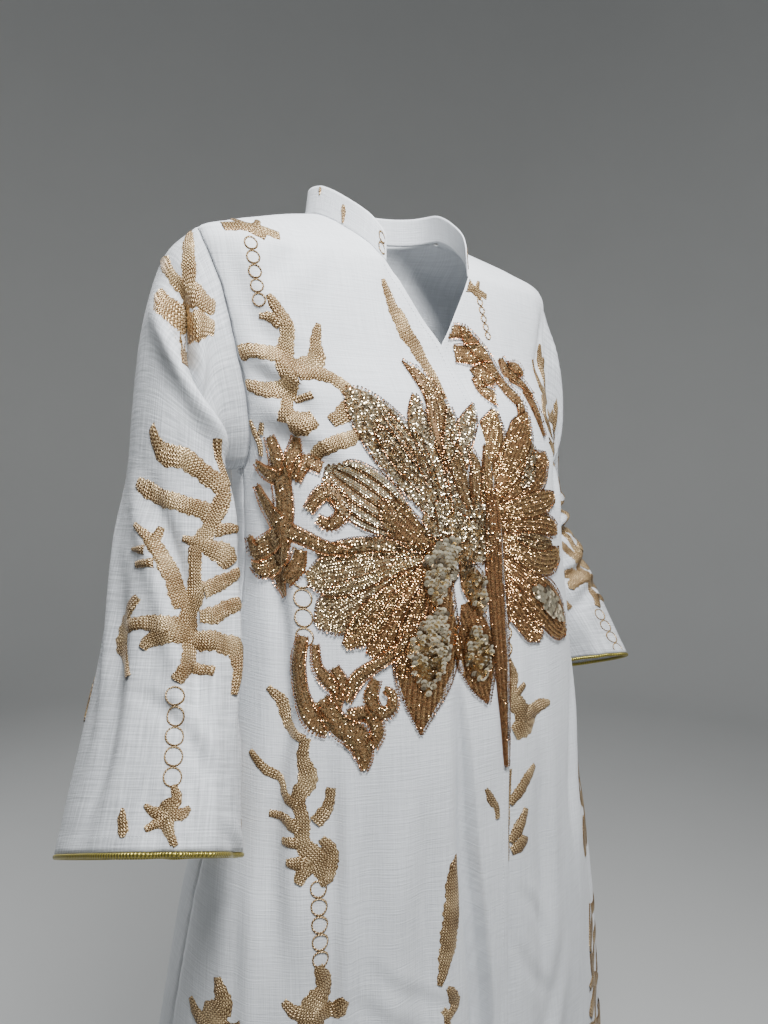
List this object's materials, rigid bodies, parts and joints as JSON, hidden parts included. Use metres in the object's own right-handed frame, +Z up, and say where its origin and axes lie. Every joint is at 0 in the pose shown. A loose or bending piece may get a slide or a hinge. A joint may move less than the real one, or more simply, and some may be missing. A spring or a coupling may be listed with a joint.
{
  "type": "jalabiya",
  "caption": "Long white open-fronted robe with band collar, V neck slit, wide corded sleeves and a sequinned flower on the chest, in its hollow worn form.",
  "frame": {"origin": "midway between the two points where the shoulder seams meet the neck, where the wearer's shoulders hold the garment up", "axes": "+Z up, the front faces -Y, +X is the wearer's left"},
  "size_m": [0.6914, 0.4299, 1.4611],
  "materials": {
    "cloth": "thin slubby white voile, matt",
    "gold_cord": "satin metallic thread over a round cord",
    "gold_sequins": "glossy metallic sequins and beads",
    "copper_sequins": "glossy metallic sequins and beads",
    "gold_thread": "chain stitch in satin beige-gold thread"
  },
  "bodies": {
    "root": {"front_right_upper": "cloth", "front_right_middle": "cloth", "front_right_lower": "cloth", "front_left_upper": "cloth", "front_left_middle": "cloth", "front_left_lower": "cloth", "back_upper": "cloth", "back_middle": "cloth", "back_lower": "cloth", "petal_1": "gold_sequins", "petal_2": "gold_sequins", "petal_3": "gold_sequins", "petal_4": "gold_sequins", "petal_5": "gold_sequins", "petal_6": "gold_sequins", "petal_7": "gold_sequins", "petal_8": "gold_sequins", "petal_9": "gold_sequins", "petal_10": "copper_sequins", "petal_11": "copper_sequins", "petal_12": "copper_sequins", "petal_13": "copper_sequins", "petal_14": "copper_sequins", "flower_heart": "gold_sequins", "spray_side": "copper_sequins", "spray_lower": "copper_sequins", "spray_upper": "copper_sequins", "sleeve_right_upper": "cloth", "sleeve_right_lower": "cloth", "cuff_cord_right": "gold_cord", "sleeve_left_upper": "cloth", "sleeve_left_lower": "cloth", "cuff_cord_left": "gold_cord", "collar": "cloth"}
  },
  "joints": []
}
